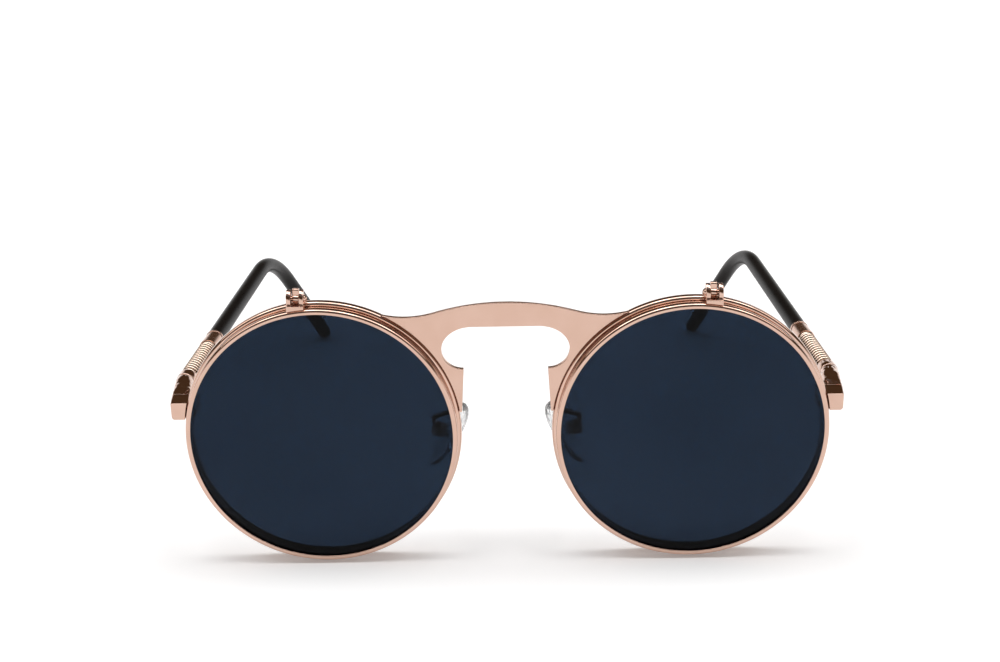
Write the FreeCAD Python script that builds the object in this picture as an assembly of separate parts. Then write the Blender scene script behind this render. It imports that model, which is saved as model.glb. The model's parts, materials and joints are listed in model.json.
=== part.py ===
import FreeCAD, Part
import math
import os

Vector = FreeCAD.Vector

# Round flip up glasses. X runs to the right as seen from the front, Y runs back
# along the temples and Z is up. Sizes are in millimetres, angles in degrees.
# The right half is modelled with the lens centre at height 0 and the front of
# the closed flip at Y 0, then mirrored and moved onto its base.

tolerance = 1e-6            # shorter lines are left out

# Rims and lenses
lens_spacing = 70.6         # between the two lens centres
aperture = 50.0             # clear view through a tinted lens
flip_rim_width = 1.0
flip_rim_depth = 2.2
rim_gap = 0.6               # air between a closed flip and the rim behind it
rim_step = 0.6              # a rim stands this far outside its flip
rim_width = 1.5
rim_depth = 2.0
rim_round = 0.45            # outer edges of both rims
lip_round = 0.15            # edges next to the lens
rim_slit = 0.3              # a rim is parted here to take its lens
lens_edge = 1.2
lens_curve = 400.0          # radius of both lens faces
groove_depth = 0.4
lens_play = 0.05
solder_gap = 0.05           # film between brazed pieces

# Bridge plate
bridge_thickness = 1.1
bridge_sink = 0.7           # crown of the bridge below the top of the rims
crown_radius = 48.0
dip_radius = 18.8
dip_turn = 16.3             # slope where the crown turns into the dip
wing_turn = 16.0            # slope where the dip runs onto the rim
bridge_height = 4.7         # crown to keyhole
shoulder_run = 5.8
shoulder_drop = 4.5
heel_drop = 3.9
waist_web = 2.5             # metal left between the keyhole and the rim
heel_web = 4.0
toe_web = 0.5
leg_drop = 8.8

# Flip hinge
hinge_offset = 3.4          # outwards of the lens centre
hinge_rise = 0.9            # hinge axis above the top of the rim
hinge_lead = 0.5            # hinge axis in front of the rim
ear_radius = 1.9            # round front of the ears
ear_barrel = 0.95           # behind it, round the screw
ear_width = 0.85
ear_play = 0.15
stem_width = 1.2
stem_barrel = 0.75
stem_depth = 1.1            # plate behind the hinge axis
stem_round = 0.4
tab_rise = 0.6              # bracket foot above the top of the flip rim
pin_radius = 0.5
pin_play = 0.04
screw_head_radius = 0.85
screw_head_height = 0.5
driver_slot = 0.25

# Endpiece and temple hinge
endpiece_level = 5.0
endpiece_height = 3.4
endpiece_depth = 4.5
endpiece_reach = 2.8        # beyond the rim
endpiece_flare = 0.8        # outer face leans out towards the back
endpiece_round = 0.6        # lower outer corner
brow_round = 0.3            # upper outer corner
lock_radius = 0.45
lock_head_radius = 0.75
lock_head_height = 0.4
barrel_radius = 1.25
barrel_share = 1.1          # height of each endpiece barrel
barrel_play = 0.1
barrel_sweep = 0.15         # room round a barrel for what turns past it
butt_gap = 0.3
hinge_pin_radius = 0.45
hinge_head_radius = 0.8
hinge_head_height = 0.35

# Temple
shank_width = 3.6
shank_round = 0.5
shank_length = 9.6
neck_size = 3.7             # shank just before its cup
neck_round = 1.7
core_radius = 0.65
core_play = 0.05
core_socket = 4.0
spring_wire = 0.95
spring_gap = 0.47           # between neighbouring turns
spring_turns = 11
spring_play = 0.08          # round the core wire
lead_turn = 60.0            # turn in which the wire swings along the axis
lead_rise = 1.5
gap_samples = 50            # count of points in a turn where the gap is measured
cup_play = 0.05             # round the end of the spring
cup_wall = 0.2
cup_floor = 0.6
cup_round = 0.25
ferrule_length = 4.4        # behind its cup
bead_length = 0.7
bead_rise = 0.12
sleeve_radius = 1.8
arm_outset = 0.85           # line of the arm outside the front of the endpiece
arm_lift = 0.2              # and above its middle
arm_length = 96.5           # endpiece to the corner of the bend
arm_rise = 1.0
arm_toe_in = 2.1
bend_radius = 30.0
tip_fall = 45.7
tip_toe_in = 15.7
core_stop = 9.0             # core wire ends this far from the tip

# Nose pads
pad_length = 14.5
pad_width = 6.6
pad_thickness = 1.8
pad_round = 0.8
pad_shoulder = 2.7          # upper corners of a pad
pad_shift = 0.6             # pad centre below its stem
pad_standoff = 0.7          # from the mouth of the box to the pad
pad_lean = 31.0
pad_splay = 25.0
box_radius = 1.5
box_length = 1.9
box_floor = 0.5
box_wall = 0.5
stem_play = 0.06
pad_pin_radius = 0.35
pad_pin_play = 0.03
box_out = 4.6               # from the nose side of the rim
box_back = 4.4              # behind the rim
box_level = -2.0
wire_radius = 0.5
wire_bend = 1.1
foot_level = 2.8
foot_run = 2.4
loop_out = 5.9
loop_back = 3.7
loop_level = 0.9

# Values that follow from the sizes above
lens_x = lens_spacing / 2
flip_in = aperture / 2
flip_out = flip_in + flip_rim_width
rim_out = flip_out + rim_step
rim_in = rim_out - rim_width
rim_front = flip_rim_depth + rim_gap
rim_back = rim_front + rim_depth
floor = -rim_out

hinge_x = lens_x + hinge_offset
hinge_y = rim_front - hinge_lead
hinge_z = rim_out + hinge_rise
hinge_top = hinge_z + ear_radius
bracket_half = stem_width / 2 + ear_play + ear_width

endpiece_in = lens_x + math.sqrt(rim_in ** 2 - endpiece_level ** 2)
endpiece_out = lens_x + math.sqrt(rim_out ** 2 - endpiece_level ** 2) + endpiece_reach
endpiece_low = endpiece_level - endpiece_height / 2
endpiece_high = endpiece_level + endpiece_height / 2
endpiece_back = rim_front + endpiece_depth
barrel_x = endpiece_in + barrel_radius
barrel_y = endpiece_back + barrel_sweep + barrel_radius
lock_x = (endpiece_out + endpiece_out - endpiece_reach) / 2
lock_y = (rim_front + rim_back) / 2

rise = math.radians(arm_rise)
toe = math.radians(arm_toe_in)
fall = math.radians(tip_fall)
tip_toe = math.radians(tip_toe_in)
arm_level = Vector(-math.sin(toe), math.cos(toe), 0)
arm_way = arm_level * math.cos(rise) + Vector(0, 0, math.sin(rise))
tip_level = Vector(-math.sin(tip_toe), math.cos(tip_toe), 0)
tip_way = tip_level * math.cos(fall) + Vector(0, 0, -math.sin(fall))
shank_out = endpiece_out + endpiece_flare
shank_start = Vector(shank_out - shank_width / 2, endpiece_back + butt_gap, endpiece_level)
arm_start = Vector(endpiece_out + arm_outset, shank_start.y, endpiece_level + arm_lift)
arm_corner = arm_start + arm_way * arm_length
tip_length = (arm_corner.z - floor - sleeve_radius) / math.sin(fall)
tip_end = arm_corner + tip_way * tip_length
tip_straight = tip_length - bend_radius * math.tan(arm_way.getAngle(tip_way) / 2)

helix_radius = core_radius + spring_play + spring_wire / 2
spring_radius = helix_radius + spring_wire / 2
spring_pitch = spring_wire + spring_gap
spring_length = 2 * (spring_wire + lead_rise) + spring_turns * spring_pitch
cup_bore = spring_radius + cup_play
cup_radius = cup_bore + cup_wall
cup_depth = spring_wire / 2 + lead_rise
spring_at = shank_length + cup_floor
ferrule_at = spring_at + spring_length - cup_depth
sleeve_at = ferrule_at + cup_depth + ferrule_length

nose_x = lens_x - rim_out
lean = math.radians(pad_lean)
splay = math.radians(pad_splay)
pad_down = Vector(math.sin(lean), 0, -math.cos(lean))
pad_side = Vector(-math.cos(lean), 0, -math.sin(lean))
pad_face = pad_side * math.cos(splay) + Vector(0, 1, 0) * math.sin(splay)
box_centre = Vector(nose_x + box_out, rim_back + box_back, box_level)


def block(x0, x1, y0, y1, z0, z1):
    return Part.makeBox(x1 - x0, y1 - y0, z1 - z0, Vector(x0, y0, z0))


def rod(start, end, radius):
    return Part.makeCylinder(radius, (end - start).Length, start, end - start)


# Arc that leaves start and reaches end along the two equal legs of a corner
def corner_arc(start, corner, end):
    turn = (corner - start).getAngle(end - corner)
    radius = (corner - start).Length / math.tan(turn / 2)
    inward = ((start + end) * 0.5 - corner).normalize()
    middle = corner + inward * (radius / math.cos(turn / 2) - radius)
    return Part.Arc(start, middle, end).toShape()


# Lines through the points, with every turn rounded by its own radius
def rounded_edges(points, radii, closed):
    entries = []
    exits = []
    arcs = []
    for i, here in enumerate(points):
        entry = here
        leave = here
        if radii[i] > 0:
            before = (here - points[i - 1]).normalize()
            after = (points[(i + 1) % len(points)] - here).normalize()
            reach = radii[i] * math.tan(before.getAngle(after) / 2)
            entry = here - before * reach
            leave = here + after * reach
            arcs.append(corner_arc(entry, here, leave))
        else:
            arcs.append(None)
        entries.append(entry)
        exits.append(leave)
    edges = []
    for i in range(len(points)):
        if arcs[i] is not None:
            edges.append(arcs[i])
        following = (i + 1) % len(points)
        straight = (entries[following] - exits[i]).Length > tolerance
        if straight and (closed or following > 0):
            edges.append(Part.makeLine(exits[i], entries[following]))
    return edges


# Face inside an outline of (u, v, radius) corners, set in space by place
def outline(corners, place):
    points = [place(u, v) for u, v, radius in corners]
    radii = [radius for u, v, radius in corners]
    return Part.Face(Part.Wire(rounded_edges(points, radii, True)))


def pipe(points, radii, radius):
    path = Part.Wire(rounded_edges(points, radii, False))
    section = Part.Wire(Part.makeCircle(radius, points[0], points[1] - points[0]))
    return path.makePipeShell([section], True, False)


# Moves what was built along +Z from the origin to a place and a direction
def aimed(shape, origin, way):
    turn = FreeCAD.Rotation(Vector(0, 0, 1), way)
    shape.Placement = FreeCAD.Placement(origin, turn).multiply(shape.Placement)
    return shape


# Solid turned about Z from (radius, height, rounding) corners
def turned(corners):
    face = outline(corners, lambda radius, height: Vector(radius, 0, height))
    return face.revolve(Vector(0, 0, 0), Vector(0, 0, 1), 360)


# Domed and slotted screw, its shank along +Z and its head below the origin
def dome_screw(radius, length, head_radius, head_height):
    dome = (head_radius ** 2 + head_height ** 2) / (2 * head_height)
    half_turn = math.asin(head_radius / dome) / 2
    brow = Vector(head_radius, 0, 0)
    lift = Vector(dome * math.sin(half_turn), 0, dome * (1 - math.cos(half_turn)) - head_height)
    crown = Vector(0, 0, -head_height)
    points = [crown, Vector(0, 0, length), Vector(radius, 0, length), Vector(radius, 0, 0), brow]
    edges = [Part.makeLine(a, b) for a, b in zip(points, points[1:])]
    edges.append(Part.Arc(brow, lift, crown).toShape())
    screw = Part.Face(Part.Wire(edges)).revolve(Vector(0, 0, 0), Vector(0, 0, 1), 360)
    half = driver_slot / 2
    slot = block(-head_radius, head_radius, -half, half, -head_height, driver_slot - head_height)
    return screw.cut(slot)


def lens_drum(radius, y0, y1):
    return Part.makeCylinder(radius, y1 - y0, Vector(lens_x, y0, 0), Vector(0, 1, 0))


# Grooved ring round the lens axis, from its inner radius and front
def rim(inner, outer, front, depth):
    middle = front + depth / 2
    mouth = lens_edge / 2 + lens_play
    corners = [
        (inner, front, lip_round),
        (outer, front, rim_round),
        (outer, front + depth, rim_round),
        (inner, front + depth, lip_round),
        (inner, middle + mouth, 0),
        (inner + groove_depth, middle, 0),
        (inner, middle - mouth, 0),
    ]
    face = outline(corners, lambda radius, y: Vector(lens_x + radius, y, 0))
    return face.revolve(Vector(lens_x, 0, 0), Vector(0, 1, 0), 360)


# Domed lens with a bevelled edge that sits in a rim's groove
def lens(inner, middle):
    edge = inner - lens_play
    bevel = inner + groove_depth - lens_play
    half = lens_edge / 2

    def face_point(radius, side):
        sag = math.sqrt(lens_curve ** 2 - radius ** 2) - math.sqrt(lens_curve ** 2 - edge ** 2)
        return Vector(lens_x + radius, middle + side * half - sag, 0)

    def face_arc(side):
        return Part.Arc(face_point(0, side), face_point(edge / 2, side), face_point(edge, side)).toShape()

    tip = Vector(lens_x + bevel, middle, 0)
    edges = [
        face_arc(-1),
        Part.makeLine(face_point(edge, -1), tip),
        Part.makeLine(tip, face_point(edge, 1)),
        face_arc(1),
        Part.makeLine(face_point(0, 1), face_point(0, -1)),
    ]
    profile = Part.Wire(Part.__sortEdges__(edges))
    return Part.Face(profile).revolve(Vector(lens_x, 0, 0), Vector(0, 1, 0), 360)


def inner_rim():
    ring = rim(rim_in, rim_out, rim_front, rim_depth)
    half = rim_slit / 2
    slit = block(lens_x, endpiece_out, rim_front, rim_back, endpiece_level - half, endpiece_level + half)
    return ring.cut(slit)


# Nose side edge of the rim at a height
def rim_edge(z):
    return lens_x - math.sqrt(rim_out ** 2 - z ** 2)


# Quarter of an ellipse between two points, bulging to their corner
def quarter(start, corner, end):
    pull = 4 / 3 * (math.sqrt(2) - 1)
    curve = Part.BezierCurve()
    curve.setPoles([start, start + (corner - start) * pull, end + (corner - end) * pull, end])
    return curve.toShape()


# Flat plate with an arched top edge and a keyhole, brazed between the rims
def bridge_plate():
    def at(x, z):
        return Vector(x, rim_front, z)

    crown = rim_out - bridge_sink
    slope = math.radians(dip_turn)
    wing = math.radians(wing_turn)
    joint_x = crown_radius * math.sin(slope)
    joint_z = crown - crown_radius * (1 - math.cos(slope))
    dip_x = (crown_radius + dip_radius) * math.sin(slope)
    dip_z = crown - (crown_radius + dip_radius) * (1 - math.cos(slope))
    wing_x = dip_x + dip_radius * math.sin(wing)
    wing_z = dip_z + dip_radius * (1 - math.cos(wing))
    keyhole_top = crown - bridge_height
    waist = keyhole_top - shoulder_drop
    heel = waist - heel_drop
    leg_end = heel - leg_drop

    def dip(side):
        joint = at(side * joint_x, joint_z)
        return Part.Arc(joint, at(side * dip_x, dip_z), at(side * wing_x, wing_z)).toShape()

    blank = [
        Part.Arc(at(-joint_x, joint_z), at(0, crown), at(joint_x, joint_z)).toShape(),
        dip(1),
        Part.makeLine(at(wing_x, wing_z), at(lens_x, wing_z)),
        Part.makeLine(at(lens_x, wing_z), at(lens_x, leg_end)),
        Part.makeLine(at(lens_x, leg_end), at(-lens_x, leg_end)),
        Part.makeLine(at(-lens_x, leg_end), at(-lens_x, wing_z)),
        Part.makeLine(at(-lens_x, wing_z), at(-wing_x, wing_z)),
        dip(-1),
    ]
    waist_x = rim_edge(waist) - waist_web
    heel_x = rim_edge(heel) - heel_web
    toe_x = rim_edge(leg_end) - toe_web
    flat_x = waist_x - shoulder_run

    def keyhole_side(side):
        narrowest = at(side * waist_x, waist)
        heel_point = at(side * heel_x, heel)
        return [
            quarter(at(side * flat_x, keyhole_top), at(side * waist_x, keyhole_top), narrowest),
            quarter(narrowest, at(side * waist_x, heel), heel_point),
            Part.makeLine(heel_point, at(side * toe_x, leg_end)),
        ]

    keyhole = [Part.makeLine(at(-flat_x, keyhole_top), at(flat_x, keyhole_top))]
    keyhole += keyhole_side(1) + keyhole_side(-1)
    keyhole.append(Part.makeLine(at(toe_x, leg_end), at(-toe_x, leg_end)))
    through = Vector(0, bridge_thickness, 0)
    plate = Part.Face(Part.Wire(Part.__sortEdges__(blank))).extrude(through)
    plate = plate.cut(Part.Face(Part.Wire(Part.__sortEdges__(keyhole))).extrude(through))
    seat = lens_drum(rim_out + solder_gap, rim_front, rim_back)
    return plate.cut(seat).cut(mirrored(seat))


# Two ears and their foot on top of the flip rim
def flip_bracket():
    foot_top = flip_out + tab_rise
    left = hinge_x - bracket_half
    right = hinge_x + bracket_half
    foot = block(left, right, 0, flip_rim_depth, flip_in, foot_top)
    bracket = foot.fuse(hinge_ear(left)).fuse(hinge_ear(right - ear_width)).removeSplitter()
    seat = lens_drum(flip_out + solder_gap, 0, flip_rim_depth)
    return bracket.cut(seat).cut(flip_bore())


# Round in front, flush with the back of the flip rim, and a barrel round the screw
def hinge_ear(start):
    end = start + ear_width
    front = block(start, end, hinge_y - ear_radius, flip_rim_depth, hinge_z - ear_radius, hinge_top)
    nose = hinge_rod(start, ear_width, ear_radius).common(front)
    return nose.fuse(hinge_rod(start, ear_width, ear_barrel))


# Rod on the flip hinge axis
def hinge_rod(start, width, radius):
    return rod(Vector(start, hinge_y, hinge_z), Vector(start + width, hinge_y, hinge_z), radius)


def flip_bore():
    return hinge_rod(hinge_x - bracket_half, 2 * bracket_half, pin_radius + pin_play)


# Upright plate with the middle barrel, brazed to the top of the rim
def flip_hinge_base():
    left = hinge_x - stem_width / 2
    corners = [
        (rim_front, rim_in, 0),
        (rim_back, rim_in, 0),
        (hinge_y + stem_depth, hinge_z, 0),
        (hinge_y + stem_depth, hinge_top, stem_round),
        (hinge_y, hinge_top, stem_round),
        (hinge_y, hinge_z, 0),
    ]
    stem = outline(corners, lambda y, z: Vector(left, y, z)).extrude(Vector(stem_width, 0, 0))
    seat = lens_drum(rim_out + solder_gap, rim_front, rim_back)
    knuckle = hinge_rod(left, stem_width, stem_barrel)
    return stem.fuse(knuckle).removeSplitter().cut(seat).cut(flip_bore())


# Screw through the flip hinge, its head on the nose side
def flip_screw():
    screw = dome_screw(pin_radius, 2 * bracket_half, screw_head_radius, screw_head_height)
    return aimed(screw, Vector(hinge_x - bracket_half, hinge_y, hinge_z), Vector(1, 0, 0))


def barrel(z0, z1, radius):
    return rod(Vector(barrel_x, barrel_y, z0), Vector(barrel_x, barrel_y, z1), radius)


# Block brazed to the rim, with the outer two barrels of the temple hinge
def endpiece():
    def slice_at(y, out):
        corners = [
            (endpiece_in, endpiece_low, 0),
            (out, endpiece_low, endpiece_round),
            (out, endpiece_high, brow_round),
            (endpiece_in, endpiece_high, 0),
        ]
        return outline(corners, lambda x, z: Vector(x, y, z)).OuterWire

    body = Part.makeLoft([slice_at(rim_front, endpiece_out), slice_at(endpiece_back, shank_out)], True, True)
    for z0 in (endpiece_low, endpiece_high - barrel_share):
        z1 = z0 + barrel_share
        web = block(endpiece_in, barrel_x, endpiece_back, barrel_y, z0, z1)
        body = body.fuse(web).fuse(barrel(z0, z1, barrel_radius))
    seat = lens_drum(rim_out + solder_gap, rim_front, rim_back + solder_gap)
    pin = barrel(endpiece_low, endpiece_high, hinge_pin_radius + pin_play)
    lock = lock_screw(pin_play)
    return body.removeSplitter().cut(seat).cut(pin).cut(lock)


# Screw that draws a parted rim together, sunk in the foot of the endpiece
def lock_screw(play):
    length = endpiece_height - lock_head_height
    corners = [
        (0, endpiece_low, 0),
        (lock_head_radius + play, endpiece_low, 0),
        (lock_head_radius + play, endpiece_low + lock_head_height + play, 0),
        (lock_radius + play, endpiece_low + lock_head_height + play, 0),
        (lock_radius + play, endpiece_low + length, 0),
        (0, endpiece_low + length, 0),
    ]
    screw = turned(corners)
    screw.translate(Vector(lock_x, lock_y, 0))
    return screw


def hinge_screw():
    screw = dome_screw(hinge_pin_radius, endpiece_height, hinge_head_radius, hinge_head_height)
    return aimed(screw, Vector(barrel_x, barrel_y, endpiece_high), Vector(0, 0, -1))


# Rounded rectangle across a direction, for lofting
def section(width, height, radius, origin, way):
    u = width / 2
    v = height / 2
    corners = [(-u, -v, radius), (u, -v, radius), (u, v, radius), (-u, v, radius)]
    return aimed(outline(corners, lambda x, y: Vector(x, y, 0)).OuterWire, origin, way)


# Hinge end of the temple: a tapering shank with its barrel and a cup for the spring
def temple_shank():
    start = section(shank_width, endpiece_height, shank_round, shank_start, Vector(0, 1, 0))
    neck = section(neck_size, neck_size, neck_round, arm_point(shank_length), arm_way)
    taper = Part.makeLoft([start, neck], True, True)
    collar = turned([
        (0, shank_length, 0),
        (cup_radius, shank_length, cup_round),
        (cup_radius, spring_at + cup_depth, 0),
        (cup_bore, spring_at + cup_depth, 0),
        (cup_bore, spring_at, 0),
        (0, spring_at, 0),
    ])
    socket = rod(Vector(0, 0, spring_at - core_socket), Vector(0, 0, spring_at), core_radius + core_play)
    shank = taper.fuse(aimed(collar, arm_start, arm_way)).cut(aimed(socket, arm_start, arm_way))
    low = endpiece_low + barrel_share + barrel_play
    high = endpiece_high - barrel_share - barrel_play
    sweep = barrel_radius + barrel_sweep
    tall = endpiece_height
    shank = shank.cut(barrel(endpiece_low - tall, endpiece_high + tall, sweep))
    front = barrel_y - barrel_radius
    web = block(barrel_x, shank_start.x, front + barrel_sweep, barrel_y + barrel_radius, low, high)
    shank = shank.fuse(web).fuse(barrel(low, high, barrel_radius)).removeSplitter()
    return shank.cut(barrel(low, high, hinge_pin_radius + pin_play))


def arm_point(distance):
    return arm_start + arm_way * distance


def temple_core():
    start = arm_point(spring_at - core_socket)
    end = tip_end - tip_way * core_stop
    return pipe([start, arm_corner, end], [0, bend_radius, 0], core_radius)


# Two arcs that join two points along their own directions
def biarc(start, start_way, end, end_way):
    span = end - start
    ways = start_way + end_way
    spread = 1 - start_way.dot(end_way)
    along = span.dot(ways)
    reach = (math.sqrt(along ** 2 + 2 * spread * span.dot(span)) - along) / (2 * spread)
    first = start + start_way * reach
    second = end - end_way * reach
    middle = (first + second) * 0.5
    return [corner_arc(start, first, middle), corner_arc(middle, second, end)]


# Helix of half turns on biarcs, swung along the axis at both ends
def spring_path():
    axis = Vector(0, 0, 1)
    lead = math.radians(lead_turn)

    def on_helix(turn):
        return Vector(helix_radius * math.cos(turn), helix_radius * math.sin(turn), 0)

    def helix_way(turn):
        climb = spring_pitch / (2 * math.pi)
        way = Vector(-helix_radius * math.sin(turn), helix_radius * math.cos(turn), climb)
        return way.normalize()

    first_z = spring_wire + lead_rise
    last_turn = 2 * math.pi * spring_turns
    last_z = first_z + spring_turns * spring_pitch
    foot = on_helix(-lead)
    head = on_helix(last_turn + lead)
    edges = [Part.makeLine(foot, foot + axis * spring_wire)]
    edges += biarc(foot + axis * spring_wire, axis, on_helix(0) + axis * first_z, helix_way(0))
    for half in range(2 * spring_turns):
        a = math.pi * half
        b = a + math.pi
        start = on_helix(a) + axis * (first_z + spring_pitch * a / (2 * math.pi))
        end = on_helix(b) + axis * (first_z + spring_pitch * b / (2 * math.pi))
        edges += biarc(start, helix_way(a), end, helix_way(b))
    top = head + axis * (last_z + lead_rise)
    edges += biarc(on_helix(last_turn) + axis * last_z, helix_way(last_turn), top, axis)
    edges.append(Part.makeLine(top, top + axis * spring_wire))
    return Part.Wire(edges)


# Least gap between turns of the spring, measured on points along its wire
def spring_self_gap(path):
    points = path.discretize(gap_samples * spring_turns)
    half_turn = gap_samples // 2
    nearest = spring_length
    for i, here in enumerate(points):
        for there in points[i + half_turn:i + 2 * gap_samples]:
            nearest = min(nearest, (there - here).Length)
    return nearest - spring_wire


def temple_spring():
    path = spring_path()
    wire_section = Part.Wire(Part.makeCircle(spring_wire / 2, path.Vertexes[0].Point, Vector(0, 0, 1)))
    coil = path.makePipeShell([wire_section], True, False)
    area = math.pi * spring_wire ** 2 / 4
    print("spring least gap %.3f, volume over section times length %.4f"
          % (spring_self_gap(path), coil.Volume / (area * path.Length)))
    return aimed(coil, arm_point(spring_at), arm_way)


# Ferrule that takes the end of the spring in a cup, with a bead where the sleeve begins
def temple_ferrule():
    bore = core_radius + core_play
    length = cup_depth + ferrule_length
    bead = sleeve_radius + bead_rise
    corners = [
        (bore, cup_depth, 0),
        (cup_bore, cup_depth, 0),
        (cup_bore, 0, 0),
        (cup_radius, 0, 0),
        (sleeve_radius, length - bead_length, 0),
        (bead, length - bead_length, bead_rise),
        (bead, length, bead_rise),
        (bore, length, 0),
    ]
    return aimed(turned(corners), arm_point(ferrule_at), arm_way)


# Round black sleeve over the core wire, bent down behind the ear
def temple_sleeve():
    start = arm_point(sleeve_at)
    skin = pipe([start, arm_corner, tip_end], [0, bend_radius, 0], sleeve_radius)
    end = Part.makeSphere(sleeve_radius, tip_end)
    hollow_end = tip_end - tip_way * (core_stop - core_play)
    hollow = pipe([start, arm_corner, hollow_end], [0, bend_radius, 0], core_radius + core_play)
    return skin.fuse(end).removeSplitter().cut(hollow)


# Wire from the back of the rim to the box that holds a nose pad
def pad_arm():
    foot_x = lens_x - math.sqrt(((rim_in + rim_out) / 2) ** 2 - foot_level ** 2)
    foot = Vector(foot_x, rim_back + solder_gap, foot_level)
    back = box_centre - pad_face * (box_length / 2)
    points = [
        foot,
        foot + Vector(0, foot_run, 0),
        Vector(nose_x + loop_out, rim_back + loop_back, loop_level),
        back + pad_face * box_floor,
    ]
    wire = pipe(points, [0, wire_bend, wire_bend, 0], wire_radius)
    cup = aimed(Part.makeCylinder(box_radius, box_length), back, pad_face)
    hollow = Part.makeCylinder(box_radius - box_wall, box_length - box_floor, Vector(0, 0, box_floor))
    cross = pad_pin(pad_pin_radius + pad_pin_play, box_radius)
    return wire.fuse(cup).removeSplitter().cut(aimed(hollow, back, pad_face)).cut(cross)


def pad_pin(radius, half):
    middle = box_centre + pad_face * (box_floor / 2)
    return rod(middle - pad_down * half, middle + pad_down * half, radius)


# Silicone pad with the stem that stands in the box
def nose_pad():
    back = box_centre + pad_face * (box_length / 2 + pad_standoff)
    across = pad_face.cross(pad_down)
    middle = back + pad_down * pad_shift
    half = pad_width / 2
    up = pad_length / 2
    corners = [
        (-half, -up, pad_shoulder),
        (half, -up, pad_shoulder),
        (half, up, half),
        (-half, up, half),
    ]
    face = outline(corners, lambda u, v: middle + across * u + pad_down * v)
    pad = face.extrude(pad_face * pad_thickness)
    pad = pad.makeFillet(pad_round, pad.Edges)
    floor_point = box_centre + pad_face * (box_floor - box_length / 2 + stem_play)
    stem = rod(floor_point, back + pad_face * (pad_thickness / 2), box_radius - box_wall - stem_play)
    return pad.fuse(stem).removeSplitter().cut(pad_pin(pad_pin_radius + pad_pin_play, box_radius))


def mirrored(shape):
    return shape.mirror(Vector(0, 0, 0), Vector(1, 0, 0))


def both(shape):
    return Part.Compound([shape, mirrored(shape)])


pairs = {
    "rim": inner_rim(),
    "clear_lens": lens(rim_in, rim_front + rim_depth / 2),
    "endpiece": endpiece(),
    "flip_hinge_base": flip_hinge_base(),
    "pad_arm": pad_arm(),
    "nose_pad": nose_pad(),
    "temple_hinge_screw": hinge_screw(),
    "flip_rim": rim(flip_in, flip_out, 0, flip_rim_depth),
    "tinted_lens": lens(flip_in, flip_rim_depth / 2),
    "flip_bracket": flip_bracket(),
    "flip_hinge_screw": flip_screw(),
    "temple_shank": temple_shank(),
    "temple_core": temple_core(),
    "temple_spring": temple_spring(),
    "temple_ferrule": temple_ferrule(),
    "temple_sleeve": temple_sleeve(),
}
nodes = {
    "bridge_plate": bridge_plate(),
    "rim_lock_screws": both(lock_screw(0)),
    "nose_pad_screws": both(pad_pin(pad_pin_radius, box_radius)),
}
for name, shape in pairs.items():
    nodes[name + "_right"] = shape
    nodes[name + "_left"] = mirrored(shape)

# The origin is on the table, in the middle of the whole object
box = Part.Compound(list(nodes.values())).optimalBoundingBox(False, False)
to_base = Vector(0, -(box.YMin + box.YMax) / 2, -box.ZMin)
os.makedirs("parts", exist_ok=True)
for name, shape in nodes.items():
    shape.translate(to_base)
    shape.exportStep("parts/" + name + ".step")

marks = {
    "flip axis": Vector(hinge_x, hinge_y, hinge_z),
    "temple axis": Vector(barrel_x, barrel_y, endpiece_level),
    "temple tip": tip_end,
    "pad saddle": Vector(0, box_centre.y, box_centre.z),
    "bridge keyhole": Vector(0, rim_front, rim_out - bridge_sink - bridge_height),
}
for name, place in marks.items():
    at = place + to_base
    print("%s %.4f %.4f %.4f" % (name, at.x, at.y, at.z))
print("tip direction %.4f %.4f %.4f" % (tip_way.x, tip_way.y, tip_way.z))
print("tip straight %.3f" % tip_straight)
print("size %.3f %.3f %.3f" % (box.XLength, box.YLength, box.ZLength))
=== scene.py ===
import json
import math
import bmesh
import bpy
from mathutils import Matrix, Vector


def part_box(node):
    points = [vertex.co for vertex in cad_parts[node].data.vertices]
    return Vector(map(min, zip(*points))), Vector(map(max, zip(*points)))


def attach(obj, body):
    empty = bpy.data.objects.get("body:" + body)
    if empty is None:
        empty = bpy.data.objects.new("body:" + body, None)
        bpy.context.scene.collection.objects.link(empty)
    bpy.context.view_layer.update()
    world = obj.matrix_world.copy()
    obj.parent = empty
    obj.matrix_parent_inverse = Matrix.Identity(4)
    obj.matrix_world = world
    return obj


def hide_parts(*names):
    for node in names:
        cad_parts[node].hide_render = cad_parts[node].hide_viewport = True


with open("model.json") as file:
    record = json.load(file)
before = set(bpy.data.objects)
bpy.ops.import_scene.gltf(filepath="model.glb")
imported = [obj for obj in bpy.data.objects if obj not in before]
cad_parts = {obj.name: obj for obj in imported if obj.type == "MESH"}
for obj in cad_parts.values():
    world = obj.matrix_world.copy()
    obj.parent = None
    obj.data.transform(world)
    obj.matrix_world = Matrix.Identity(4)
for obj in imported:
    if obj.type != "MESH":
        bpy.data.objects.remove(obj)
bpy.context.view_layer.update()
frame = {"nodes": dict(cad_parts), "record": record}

nodes = frame["nodes"]
mm = 0.001
sideSign = {"left": -1, "right": 1}  # which way along x is outwards
print("frame loaded,", len(nodes), "nodes")


# small helpers for shader trees
def startMaterial(name):
    mat = bpy.data.materials.new(name)
    mat.use_nodes = True
    tree = mat.node_tree
    tree.nodes.clear()
    output = tree.nodes.new("ShaderNodeOutputMaterial")
    shader = tree.nodes.new("ShaderNodeBsdfPrincipled")
    tree.links.new(shader.outputs["BSDF"], output.inputs["Surface"])
    return mat, tree, shader


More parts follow.
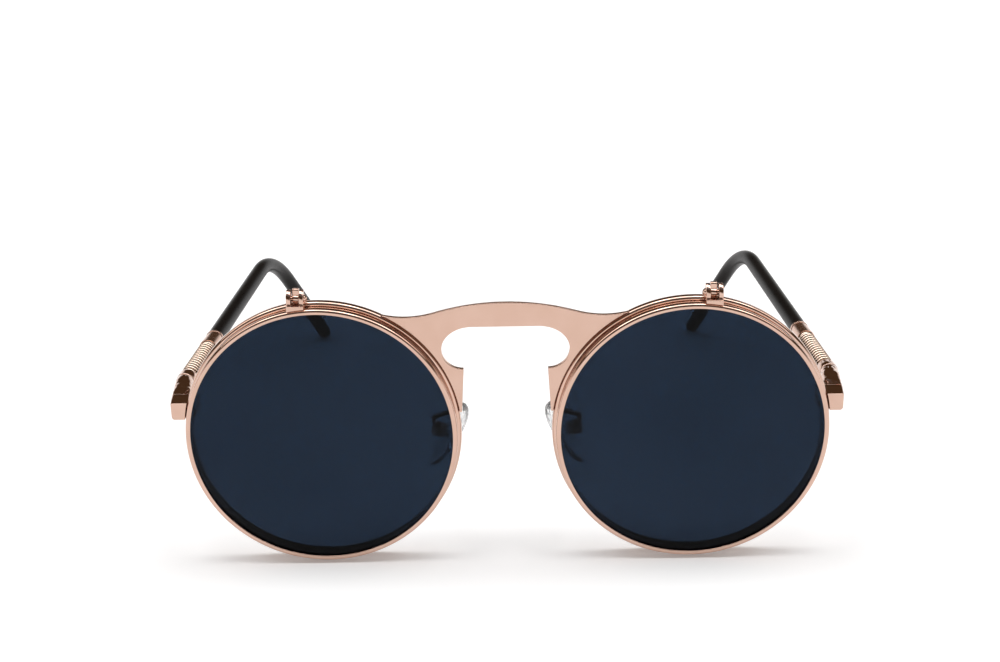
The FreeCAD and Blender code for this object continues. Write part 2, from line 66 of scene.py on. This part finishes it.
def addNoise(tree, grain, detail, stretch=(1, 1, 1)):
    # grain is the size of one speck in mm
    coords = tree.nodes.new("ShaderNodeTexCoord")
    mapping = tree.nodes.new("ShaderNodeMapping")
    mapping.inputs["Scale"].default_value = stretch
    noise = tree.nodes.new("ShaderNodeTexNoise")
    noise.inputs["Scale"].default_value = 1.0 / (grain * mm)
    noise.inputs["Detail"].default_value = detail
    tree.links.new(coords.outputs["Object"], mapping.inputs["Vector"])
    tree.links.new(mapping.outputs["Vector"], noise.inputs["Vector"])
    return noise.outputs["Fac"]


noiseSpan = {"low": 0.3, "high": 0.7}  # most of the noise lies between these


def mapBetween(tree, value, low, high):
    spread = tree.nodes.new("ShaderNodeMapRange")
    spread.inputs["From Min"].default_value = noiseSpan["low"]
    spread.inputs["From Max"].default_value = noiseSpan["high"]
    spread.inputs["To Min"].default_value = low
    spread.inputs["To Max"].default_value = high
    tree.links.new(value, spread.inputs["Value"])
    return spread.outputs["Result"]


def paint(tree, shader, value, first, second):
    # the colour drifts between two close tones
    mix = tree.nodes.new("ShaderNodeMix")
    mix.data_type = "RGBA"
    mix.inputs["A"].default_value = (*first, 1)
    mix.inputs["B"].default_value = (*second, 1)
    tree.links.new(mapBetween(tree, value, 0, 1), mix.inputs["Factor"])
    tree.links.new(mix.outputs["Result"], shader.inputs["Base Color"])


def polish(tree, shader, value, low, high):
    tree.links.new(mapBetween(tree, value, low, high), shader.inputs["Roughness"])


def addBump(tree, shader, height, depth, strength):
    bump = tree.nodes.new("ShaderNodeBump")
    bump.inputs["Distance"].default_value = depth * mm
    bump.inputs["Strength"].default_value = strength
    tree.links.new(height, bump.inputs["Height"])
    tree.links.new(bump.outputs["Normal"], shader.inputs["Normal"])


# plated metal, common values first, then the finish of each kind of piece
roseGold = {
    "pale": (0.675, 0.46, 0.37),
    "deep": (0.645, 0.43, 0.34),
    "cloud": 4.0,  # mm across the soft colour clouds
    "cloudDetail": 2.0,
    "grainDetail": 4.0,
    "stretch": (1, 1, 1),
    "bump": 0.25,
    "plate": {"rough": (0.14, 0.20), "grain": 0.5, "depth": 0.004},
    "rim": {"rough": (0.03, 0.07), "grain": 0.6, "depth": 0.004},
    "fitting": {"rough": (0.03, 0.07), "grain": 0.5, "depth": 0.005},
    "wire": {"rough": (0.12, 0.22), "grain": 0.5, "depth": 0.004, "stretch": (1, 0.15, 1)},
    "shank": {"rough": (0.04, 0.10), "grain": 1.6, "depth": 1.4, "stretch": (1, 0.6, 1),
              "grainDetail": 1.0},  # smooth dents
    "ferrule": {"rough": (0.16, 0.24), "grain": 0.5, "depth": 0.004, "stretch": (1, 0.15, 1)},
    "spring": {"rough": (0.06, 0.12), "grain": 0.4, "depth": 0.003,
               "pale": (0.78, 0.62, 0.51), "deep": (0.75, 0.58, 0.47)},  # a lighter copy of the rose gold: a painted highlight
    "screw": {"rough": (0.08, 0.16), "grain": 0.25, "depth": 0.004},
}


def makeRoseGold(kind):
    finish = {**roseGold, **roseGold[kind]}  # a kind's own values stand over the common ones
    mat, tree, shader = startMaterial("roseGold_" + kind)
    shader.inputs["Metallic"].default_value = 1.0
    cloud = addNoise(tree, finish["cloud"], finish["cloudDetail"])
    paint(tree, shader, cloud, finish["pale"], finish["deep"])
    grain = addNoise(tree, finish["grain"], finish["grainDetail"], finish["stretch"])
    polish(tree, shader, grain, *finish["rough"])
    addBump(tree, shader, grain, finish["depth"], finish["bump"])
    return mat


# tinted lens of the flips and the clear lens behind it
lensGlass = {
    "tint": ((0.0090, 0.0185, 0.0365), (0.0112, 0.0212, 0.0405)),
    "clear": ((0.955, 0.97, 0.975), (0.965, 0.98, 0.985)),
    "ior": 1.18,  # coated against reflections
    "cloud": 25.0,  # mm across the soft change in the tint
    "cloudDetail": 1.0,
    "rough": (0.0, 0.01),
}


def makeLens(name, colours):
    mat, tree, shader = startMaterial(name)
    cloud = addNoise(tree, lensGlass["cloud"], lensGlass["cloudDetail"])
    paint(tree, shader, cloud, *colours)
    polish(tree, shader, cloud, *lensGlass["rough"])
    shader.inputs["Transmission Weight"].default_value = 1.0
    shader.inputs["IOR"].default_value = lensGlass["ior"]
    return mat


# black sleeve on the temples
sleeveSkin = {
    "base": (0.0022, 0.0019, 0.0018),
    "worn": (0.0050, 0.0041, 0.0037),
    "cloud": 6.0,  # mm across the worn patches
    "cloudDetail": 3.0,
    "grain": 0.35,
    "grainDetail": 4.0,
    "rough": (0.26, 0.36),
    "gloss": 0.09,
    "glint": (1.0, 0.84, 0.80),  # tint of the gloss
    "depth": 0.01,
    "bump": 0.2,
}


def makeSleeve():
    mat, tree, shader = startMaterial("sleeve_black")
    cloud = addNoise(tree, sleeveSkin["cloud"], sleeveSkin["cloudDetail"])
    paint(tree, shader, cloud, sleeveSkin["base"], sleeveSkin["worn"])
    shader.inputs["Specular IOR Level"].default_value = sleeveSkin["gloss"]
    shader.inputs["Specular Tint"].default_value = (*sleeveSkin["glint"], 1)
    grain = addNoise(tree, sleeveSkin["grain"], sleeveSkin["grainDetail"])
    polish(tree, shader, grain, *sleeveSkin["rough"])
    addBump(tree, shader, grain, sleeveSkin["depth"], sleeveSkin["bump"])
    return mat


# clear silicone of the nose pads
silicone = {
    "colour": (0.93, 0.94, 0.94),
    "clearness": 0.92,
    "ior": 1.41,
    "grain": 0.6,
    "grainDetail": 3.0,
    "rough": (0.02, 0.06),
    "depth": 0.01,
    "bump": 0.15,
}


def makeSilicone():
    mat, tree, shader = startMaterial("pad_silicone")
    shader.inputs["Base Color"].default_value = (*silicone["colour"], 1)
    shader.inputs["Transmission Weight"].default_value = silicone["clearness"]
    shader.inputs["IOR"].default_value = silicone["ior"]
    grain = addNoise(tree, silicone["grain"], silicone["grainDetail"])
    polish(tree, shader, grain, *silicone["rough"])
    addBump(tree, shader, grain, silicone["depth"], silicone["bump"])
    return mat


# one finish for each material slot of the record
finishes = {
    "rose_gold_plate": makeRoseGold("plate"),
    "rose_gold_rim": makeRoseGold("rim"),
    "rose_gold_fitting": makeRoseGold("fitting"),
    "rose_gold_wire": makeRoseGold("wire"),
    "rose_gold_spring": makeRoseGold("spring"),
    "screw_gold": makeRoseGold("screw"),
    "tinted_lens": makeLens("tinted_lens", lensGlass["tint"]),
    "clear_lens": makeLens("clear_lens", lensGlass["clear"]),
    "pad_silicone": makeSilicone(),
    "sleeve_black": makeSleeve(),
}
for row in frame["record"]["subparts"]:
    for holder in nodes[row["node"]].material_slots:
        holder.material = finishes[row["material_slot"]]
for kind in ("shank", "ferrule"):  # these two differ from the rest of their slot
    ownFinish = makeRoseGold(kind)
    for side in sideSign:
        nodes["temple_" + kind + "_" + side].material_slots[0].material = ownFinish
print("finishes set,", len(finishes))


# small helpers for meshes that are built from rings of points
def bridgeRings(bm, rings):
    for a, b in zip(rings, rings[1:]):
        for k in range(len(a)):
            following = (k + 1) % len(a)
            bm.faces.new((a[k], a[following], b[following], b[k]))


def closeRing(bm, ring, place):
    pole = bm.verts.new(place)
    for k in range(len(ring)):
        bm.faces.new((ring[k], ring[(k + 1) % len(ring)], pole))


def takeMesh(bm, name):
    bmesh.ops.recalc_face_normals(bm, faces=bm.faces)
    mesh = bpy.data.meshes.new(name)
    bm.to_mesh(mesh)
    bm.free()
    return mesh


def makePiece(name, mesh, body, slotName):
    piece = bpy.data.objects.new(name, mesh)
    bpy.context.scene.collection.objects.link(piece)
    mesh.materials.append(finishes[slotName])
    for face in mesh.polygons:
        face.use_smooth = True
    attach(piece, body)
    return piece


# wound spring of each temple, with closed end turns inside its cups
spring = {
    "rise": 1.0,  # degrees, as the temple runs
    "toeIn": 2.1,
    "wire": 0.80,
    "coil": 1.43,  # axis to the middle of the wire
    "coilEnd": 1.25,  # the same inside the cups
    "early": 0.5,  # turns before the cup where the coil begins to narrow
    "pitch": 1.09,
    "turns": 14,
    "endTurns": 2.0,
    "endPitch": 0.82,
    "stepsPerTurn": 40,
    "ringPoints": 16,
    "probe": 0.001,  # turns either way, to find the wire's direction
}


def springHeight(turn):
    # open turns in the middle, closed ones at both ends
    half = spring["turns"] / 2
    inner = max(-half, min(half, turn))
    return inner * spring["pitch"] + (turn - inner) * spring["endPitch"]


def makeSpring(side):
    sign = sideSign[side]
    low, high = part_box("temple_spring_" + side)
    middle = (low + high) / 2
    rise = math.radians(spring["rise"])
    toe = math.radians(spring["toeIn"])
    run = math.cos(rise)
    axis = Vector((-sign * math.sin(toe) * run, math.cos(toe) * run, math.sin(rise)))
    across = axis.orthogonal().normalized()
    upward = axis.cross(across)
    reach = spring["turns"] / 2 + spring["endTurns"]
    steps = int(2 * reach * spring["stepsPerTurn"])
    points = spring["ringPoints"]

    def onCoil(turn):
        angle = 2 * math.pi * turn
        swing = across * math.cos(angle) + upward * (sign * math.sin(angle))
        inside = min(1, max(0, abs(turn) - spring["turns"] / 2 + spring["early"]))
        coil = spring["coil"] + (spring["coilEnd"] - spring["coil"]) * inside
        return middle + (swing * coil + axis * springHeight(turn)) * mm, swing

    bm = bmesh.new()
    uvLayer = bm.loops.layers.uv.new("wire")
    rings = []
    for i in range(steps + 1):
        turn = -reach + 2 * reach * i / steps
        centre, swing = onCoil(turn)
        ahead = onCoil(turn + spring["probe"])[0] - onCoil(turn - spring["probe"])[0]
        sideways = ahead.normalized().cross(swing)
        ring = []
        for k in range(points):
            angle = 2 * math.pi * k / points
            out = swing * math.cos(angle) + sideways * math.sin(angle)
            ring.append(bm.verts.new(centre + out * (spring["wire"] / 2 * mm)))
        rings.append(ring)
    for i, (a, b) in enumerate(zip(rings, rings[1:])):
        for k in range(points):
            following = (k + 1) % points
            face = bm.faces.new((a[k], a[following], b[following], b[k]))
            corners = ((i, k), (i, k + 1), (i + 1, k + 1), (i + 1, k))
            for loop, (along, around) in zip(face.loops, corners):
                loop[uvLayer].uv = (along / spring["stepsPerTurn"], around / points)
    bm.faces.new(rings[0])
    bm.faces.new(rings[-1])
    mesh = takeMesh(bm, "spring_" + side)
    piece = makePiece("spring_wound_" + side, mesh, "temple_" + side, "rose_gold_spring")
    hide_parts("temple_spring_" + side)


for side in sideSign:
    makeSpring(side)
print("springs wound")

# domed lenses, each in the groove that its solid fills
lensForm = {
    "curve": 400.0,  # mm, radius of both faces
    "thickness": 1.2,
    "bevel": 0.4,
    "rings": 14,
    "spokes": 144,
    "sharp": 20.0,  # degrees, the bevel stays crisp
}


def makeLensPiece(node, body, slotName):
    low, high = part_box(node)
    centre = (low + high) / 2
    outer = (high.x - low.x) / 2 / mm
    edge = outer - lensForm["bevel"]
    half = lensForm["thickness"] / 2
    curve = lensForm["curve"]
    edgeSag = math.sqrt(curve ** 2 - edge ** 2)
    rimY = high.y / mm - half  # the bevel's own plane

    def domeAt(radius):
        return edgeSag - math.sqrt(curve ** 2 - radius ** 2)

    radii = [edge * (i + 1) / lensForm["rings"] for i in range(lensForm["rings"])]
    profile = [(r, rimY - half + domeAt(r)) for r in radii]
    profile.append((outer, rimY))
    profile += [(r, rimY + half + domeAt(r)) for r in reversed(radii)]
    bm = bmesh.new()
    rings = []
    for radius, y in profile:
        ring = []
        for k in range(lensForm["spokes"]):
            angle = 2 * math.pi * k / lensForm["spokes"]
            x = centre.x + radius * mm * math.cos(angle)
            z = centre.z + radius * mm * math.sin(angle)
            ring.append(bm.verts.new((x, y * mm, z)))
        rings.append(ring)
    bridgeRings(bm, rings)
    for ring, offset in ((rings[0], -half), (rings[-1], half)):
        closeRing(bm, ring, (centre.x, (rimY + offset + domeAt(0)) * mm, centre.z))
    mesh = takeMesh(bm, node)
    piece = makePiece("shaped_" + node, mesh, body, slotName)
    mesh.set_sharp_from_angle(angle=math.radians(lensForm["sharp"]))
    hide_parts(node)


for side in sideSign:
    makeLensPiece("tinted_lens_" + side, "flip_" + side, "tinted_lens")
    makeLensPiece("clear_lens_" + side, "front_frame", "clear_lens")
print("lenses shaped")

# rims turned as clean rings, with the groove that holds the lens
rimForm = {
    "width": {"flip_rim": 1.0, "rim": 1.5},
    "outerRound": {"flip_rim": 0.60, "rim": 0.65},
    "lipRound": 0.15,
    "mouth": 1.3,  # groove at its widest
    "groove": 0.4,
    "slitLevel": 5.0,  # height of the parting above the lens centre
    "slit": 0.3,
    "arcSteps": 5,
    "spokes": 240,
    "sharp": 32.0,  # degrees, the groove stays crisp
}


def roundCorner(corner, before, after, radius):
    # points of a quarter arc between two square edges of the profile
    steps = rimForm["arcSteps"]
    middle = corner + before * radius + after * radius
    points = []
    for i in range(steps + 1):
        angle = math.pi / 2 * i / steps
        points.append(middle - after * (radius * math.cos(angle)) - before * (radius * math.sin(angle)))
    return points


def rimProfile(inner, outer, front, back, wide):
    # points as (radius, y), run round the metal
    out = Vector((1, 0))
    rear = Vector((0, 1))
    middle = (front + back) / 2
    half = rimForm["mouth"] / 2
    lip = rimForm["lipRound"]
    points = roundCorner(Vector((inner, front)), rear, out, lip)
    points += roundCorner(Vector((outer, front)), -out, rear, wide)
    points += roundCorner(Vector((outer, back)), -rear, -out, wide)
    points += roundCorner(Vector((inner, back)), out, -rear, lip)
    points.append(Vector((inner, middle + half)))
    points.append(Vector((inner + rimForm["groove"], middle)))
    points.append(Vector((inner, middle - half)))
    return points


def makeRimPiece(kind, side, body):
    node = kind + "_" + side
    low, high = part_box(node)
    centre = (low + high) / 2
    outer = (high.z - low.z) / 2 / mm
    inner = outer - rimForm["width"][kind]
    profile = rimProfile(inner, outer, low.y / mm, high.y / mm, rimForm["outerRound"][kind])
    spokes = rimForm["spokes"]
    parted = kind == "rim"  # the lock screw closes the slit
    start = end = 0.0
    if parted:
        reach = (inner + outer) / 2
        start = math.asin((rimForm["slitLevel"] + rimForm["slit"] / 2) / reach)
        end = math.asin((rimForm["slitLevel"] - rimForm["slit"] / 2) / reach)
    sweep = 2 * math.pi + end - start
    bm = bmesh.new()
    rings = []
    for i in range(spokes + parted):
        angle = start + sweep * i / spokes
        across = sideSign[side] * math.cos(angle) * mm
        upright = math.sin(angle) * mm
        ring = []
        for p in profile:
            ring.append(bm.verts.new((centre.x + across * p.x, p.y * mm, centre.z + upright * p.x)))
        rings.append(ring)
    if parted:
        bm.faces.new(rings[0])
        bm.faces.new(rings[-1])
    else:
        rings.append(rings[0])
    bridgeRings(bm, rings)
    mesh = takeMesh(bm, node)
    piece = makePiece("turned_" + node, mesh, body, "rose_gold_rim")
    mesh.set_sharp_from_angle(angle=math.radians(rimForm["sharp"]))
    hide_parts(node)


for side in sideSign:
    makeRimPiece("flip_rim", side, "flip_" + side)
    makeRimPiece("rim", side, "front_frame")
print("rims turned")

# soft nose pads, one smooth moulding with the stem that stands in the box
pad = {
    "hold": (13.3, -58.454, 24.6),  # middle of the box, mm
    "lean": 31.0,
    "splay": 25.0,
    "width": 6.6,
    "length": 14.5,
    "thickness": 1.8,
    "shift": 0.6,  # pad middle below its stem
    "standoff": 1.65,  # box middle to the back of the pad
    "blunt": (0.86, 0.90),  # below 1 the outline is blunter than an oval
    "taper": 0.16,  # narrower towards the lower end
    "widen": 1.12,  # makes up for the taper
    "fullness": 4.5,  # higher keeps the thickness nearer to the edge
    "dish": 0.25,  # hollow of the back face
    "rings": 9,
    "spokes": 72,
    "stem": 0.9,  # radius
    "stemFoot": -0.38,
    "stemFlare": 1.55,  # where it runs into the pad
    "stemSpokes": 24,
    "join": 0.001,
    "voxel": 0.16,
    "smoothing": 0.5,
    "smoothSteps": 6,
}


def blunted(value, power):
    return math.copysign(abs(value) ** power, value)


def makeNosePad(side):
    sign = sideSign[side]
    lean = math.radians(pad["lean"])
    splay = math.radians(pad["splay"])
    down = Vector((sign * math.sin(lean), 0, -math.cos(lean)))
    inward = Vector((-sign * math.cos(lean), 0, -math.sin(lean)))
    face = inward * math.cos(splay) + Vector((0, 1, 0)) * math.sin(splay)
    across = face.cross(down)
    hold = Vector((sign * pad["hold"][0], pad["hold"][1], pad["hold"][2]))
    head = hold + face * (pad["standoff"] + pad["thickness"] / 2)
    middle = head + down * pad["shift"]
    bm = bmesh.new()

    def onPad(share, angle, front):
        # share runs from the middle to the edge
        u = blunted(math.cos(angle), pad["blunt"][0])
        v = blunted(math.sin(angle), pad["blunt"][1])
        narrow = 1 - pad["taper"] * v
        thick = pad["thickness"] / 2 * math.sqrt(max(0.0, 1 - share ** pad["fullness"]))
        level = thick if front else -thick + pad["dish"] * (1 - share ** 2)
        flat = across * (u * share * narrow / (1 + pad["taper"]) * pad["width"] / 2 * pad["widen"])
        return middle + flat + down * (v * share * pad["length"] / 2) + face * level

    spokes = pad["spokes"]
    shares = [math.sin(math.pi / 2 * (i + 1) / pad["rings"]) for i in range(pad["rings"])]
    rings = []
    for front, run in ((True, shares), (False, shares[-2::-1])):
        for share in run:
            places = [onPad(share, 2 * math.pi * k / spokes, front) for k in range(spokes)]
            rings.append([bm.verts.new(place * mm) for place in places])
    bridgeRings(bm, rings)
    for ring, front in ((rings[0], True), (rings[-1], False)):
        closeRing(bm, ring, onPad(0, 0, front) * mm)

    foot = hold + face * pad["stemFoot"]
    neck = (foot * 2 + head) / 3
    stem = []
    for place, swell in ((foot, 0.0), (foot, 1.0), (neck, 1.0), (head, pad["stemFlare"]), (head, 0.0)):
        ring = []
        for k in range(pad["stemSpokes"]):
            angle = 2 * math.pi * k / pad["stemSpokes"]
            swing = across * math.cos(angle) + down * math.sin(angle)
            ring.append(bm.verts.new((place + swing * swell * pad["stem"]) * mm))
        stem.append(ring)
    bridgeRings(bm, stem)
    bmesh.ops.remove_doubles(bm, verts=bm.verts, dist=pad["join"] * mm)

    # pad and stem grow together in a remesh
    rough = takeMesh(bm, "pad_rough_" + side)
    blank = bpy.data.objects.new("pad_rough_" + side, rough)
    bpy.context.scene.collection.objects.link(blank)
    remesh = blank.modifiers.new("merge", "REMESH")
    remesh.mode = "VOXEL"
    remesh.voxel_size = pad["voxel"] * mm
    smooth = blank.modifiers.new("soften", "SMOOTH")
    smooth.factor = pad["smoothing"]
    smooth.iterations = pad["smoothSteps"]
    held = blank.evaluated_get(bpy.context.evaluated_depsgraph_get())
    mesh = bpy.data.meshes.new_from_object(held)
    mesh.name = "nose_pad_soft_" + side
    bpy.data.objects.remove(blank)
    piece = makePiece("nose_pad_soft_" + side, mesh, "front_frame", "pad_silicone")
    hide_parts("nose_pad_" + side)


for side in sideSign:
    makeNosePad(side)
print("nose pads moulded")

# polished edges on the pieces that are cut from flat stock, and on the hinge ends and pad arms
edgeBreak = {
    "width": {
        "bridge_plate": 0.12,
        "endpiece": 0.07,
        "flip_bracket": 0.12,
        "flip_hinge_base": 0.10,
        "temple_shank": 0.035,
        "pad_arm": 0.07,
    },
    "join": 0.0001,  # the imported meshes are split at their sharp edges
    "flat": 0.4,  # degrees, flatter triangles become one face
    "sharp": 35.0,  # degrees, sharper edges are broken
    "segments": 3,
}


def breakEdges(piece, width):
    weld = piece.modifiers.new("joined", "WELD")
    weld.merge_threshold = edgeBreak["join"] * mm
    flats = piece.modifiers.new("flats", "DECIMATE")
    flats.decimate_type = "DISSOLVE"
    flats.angle_limit = math.radians(edgeBreak["flat"])
    bevel = piece.modifiers.new("edges", "BEVEL")
    bevel.width = width * mm
    bevel.segments = edgeBreak["segments"]
    bevel.limit_method = "ANGLE"
    bevel.angle_limit = math.radians(edgeBreak["sharp"])
    bevel.use_clamp_overlap = False
    bevel.loop_slide = False  # sliding loops fold over at short edges
    bevel.harden_normals = True


for name, width in edgeBreak["width"].items():
    for node in (name, name + "_left", name + "_right"):
        if node in nodes:
            breakEdges(nodes[node], width)
print("edges broken")

# white floor, and a room that the metal mirrors
studio = {
    "floor": 0.90,
    "floorRough": 0.7,
    "floorSize": 60.0,  # metres
    "floorGlow": {  # lifts the floor to white and keeps the shadow
        "Is Camera Ray": 0.20,
        "Is Glossy Ray": 0.16,
        "Is Transmission Ray": 0.16,
    },
    "sky": (  # height and colour: pale backdrop, dark room, bright ceiling
        (0.00, (1, 1, 1)),
        (0.10, (1, 1, 1)),
        (0.24, (0.076, 0.046, 0.025)),
        (0.60, (0.076, 0.046, 0.025)),
        (0.90, (0.225, 0.24, 0.265)),
    ),
    "skyStrength": 1.0,
}


def makeFloor():
    half = studio["floorSize"] / 2
    mesh = bpy.data.meshes.new("floor")
    corners = ((-half, -half, 0), (half, -half, 0), (half, half, 0), (-half, half, 0))
    mesh.from_pydata(corners, (), ((0, 1, 2, 3),))
    floor = bpy.data.objects.new("floor", mesh)
    bpy.context.scene.collection.objects.link(floor)
    mat, tree, shader = startMaterial("floor_white")
    shader.inputs["Base Color"].default_value = (studio["floor"],) * 3 + (1,)
    shader.inputs["Roughness"].default_value = studio["floorRough"]
    shader.inputs["Specular IOR Level"].default_value = 0.0
    shader.inputs["Emission Color"].default_value = (1, 1, 1, 1)
    path = tree.nodes.new("ShaderNodeLightPath")
    brightest = shader.inputs["Emission Strength"]
    for kind, strength in studio["floorGlow"].items():
        # a ray can be of two kinds, so the larger glow counts and not their sum
        glow = tree.nodes.new("ShaderNodeMath")
        glow.operation = "MULTIPLY"
        glow.inputs[1].default_value = strength
        tree.links.new(path.outputs[kind], glow.inputs[0])
        either = tree.nodes.new("ShaderNodeMath")
        either.operation = "MAXIMUM"
        either.inputs[1].default_value = 0.0
        tree.links.new(glow.outputs[0], either.inputs[0])
        tree.links.new(either.outputs[0], brightest)
        brightest = either.inputs[1]
    mesh.materials.append(mat)


def makeSky():
    world = bpy.data.worlds.new("studio_sky")
    bpy.context.scene.world = world
    world.use_nodes = True
    tree = world.node_tree
    tree.nodes.clear()
    output = tree.nodes.new("ShaderNodeOutputWorld")
    light = tree.nodes.new("ShaderNodeBackground")
    coords = tree.nodes.new("ShaderNodeTexCoord")
    parts = tree.nodes.new("ShaderNodeSeparateXYZ")
    ramp = tree.nodes.new("ShaderNodeValToRGB")
    stops = ramp.color_ramp.elements
    for i, (height, colour) in enumerate(studio["sky"]):
        stop = stops[0] if i == 0 else stops.new(height)
        stop.color = (*colour, 1)
    stops.remove(stops[-1])  # the ramp's own white end
    tree.links.new(coords.outputs["Generated"], parts.inputs["Vector"])
    tree.links.new(parts.outputs["Z"], ramp.inputs["Fac"])
    tree.links.new(ramp.outputs["Color"], light.inputs["Color"])
    light.inputs["Strength"].default_value = studio["skyStrength"]
    tree.links.new(light.outputs["Background"], output.inputs["Surface"])


# one long light above, in five lengths
softboxes = {
    "spread": 36.0,
    "forward": -2.0,
    "lengths": ((-48, 0.50), (-24, 0.72), (0, 0.82), (24, 0.72), (48, 0.50)),  # lean and strength
}


def makeSoftboxes():
    for lean, strength in softboxes["lengths"]:
        lamp = bpy.data.lights.new("softbox", "SUN")
        lamp.angle = math.radians(softboxes["spread"])
        lamp.energy = strength
        holder = bpy.data.objects.new("softbox", lamp)
        holder.rotation_euler = (math.radians(softboxes["forward"]), math.radians(lean), 0)
        bpy.context.scene.collection.objects.link(holder)


# viewpoint worked out from the photo
photoView = {
    "eye": (0.0016, -0.30498, 0.13125),
    "tilt": 19.34,
    "yaw": 0.61,
    "roll": 1.10,
    "focal": 1359.0,  # in pixels of the image
    "imageWidth": 1000,
    "sensor": 36.0,
    "nearest": 0.01,
    "farthest": 50,
}


def makeCamera():
    tilt = math.radians(photoView["tilt"])
    yaw = math.radians(photoView["yaw"])
    roll = math.radians(photoView["roll"])
    run = math.cos(tilt)
    ahead = Vector((-math.sin(yaw) * run, math.cos(yaw) * run, -math.sin(tilt)))
    level = Vector((math.cos(yaw), math.sin(yaw), 0))
    down = ahead.cross(level)
    right = level * math.cos(roll) + down * math.sin(roll)
    up = level * math.sin(roll) - down * math.cos(roll)
    data = bpy.data.cameras.new("photo_camera")
    data.sensor_width = photoView["sensor"]
    data.lens = photoView["focal"] / photoView["imageWidth"] * photoView["sensor"]
    data.clip_start = photoView["nearest"]
    data.clip_end = photoView["farthest"]
    camera = bpy.data.objects.new("photo_camera", data)
    turn = Matrix((right, up, -ahead)).transposed().to_4x4()
    camera.matrix_world = Matrix.Translation(Vector(photoView["eye"])) @ turn
    bpy.context.scene.collection.objects.link(camera)
    bpy.context.scene.camera = camera


makeFloor()
makeSky()
makeSoftboxes()
makeCamera()
bpy.context.scene.view_settings.view_transform = "Standard"
print("studio set")
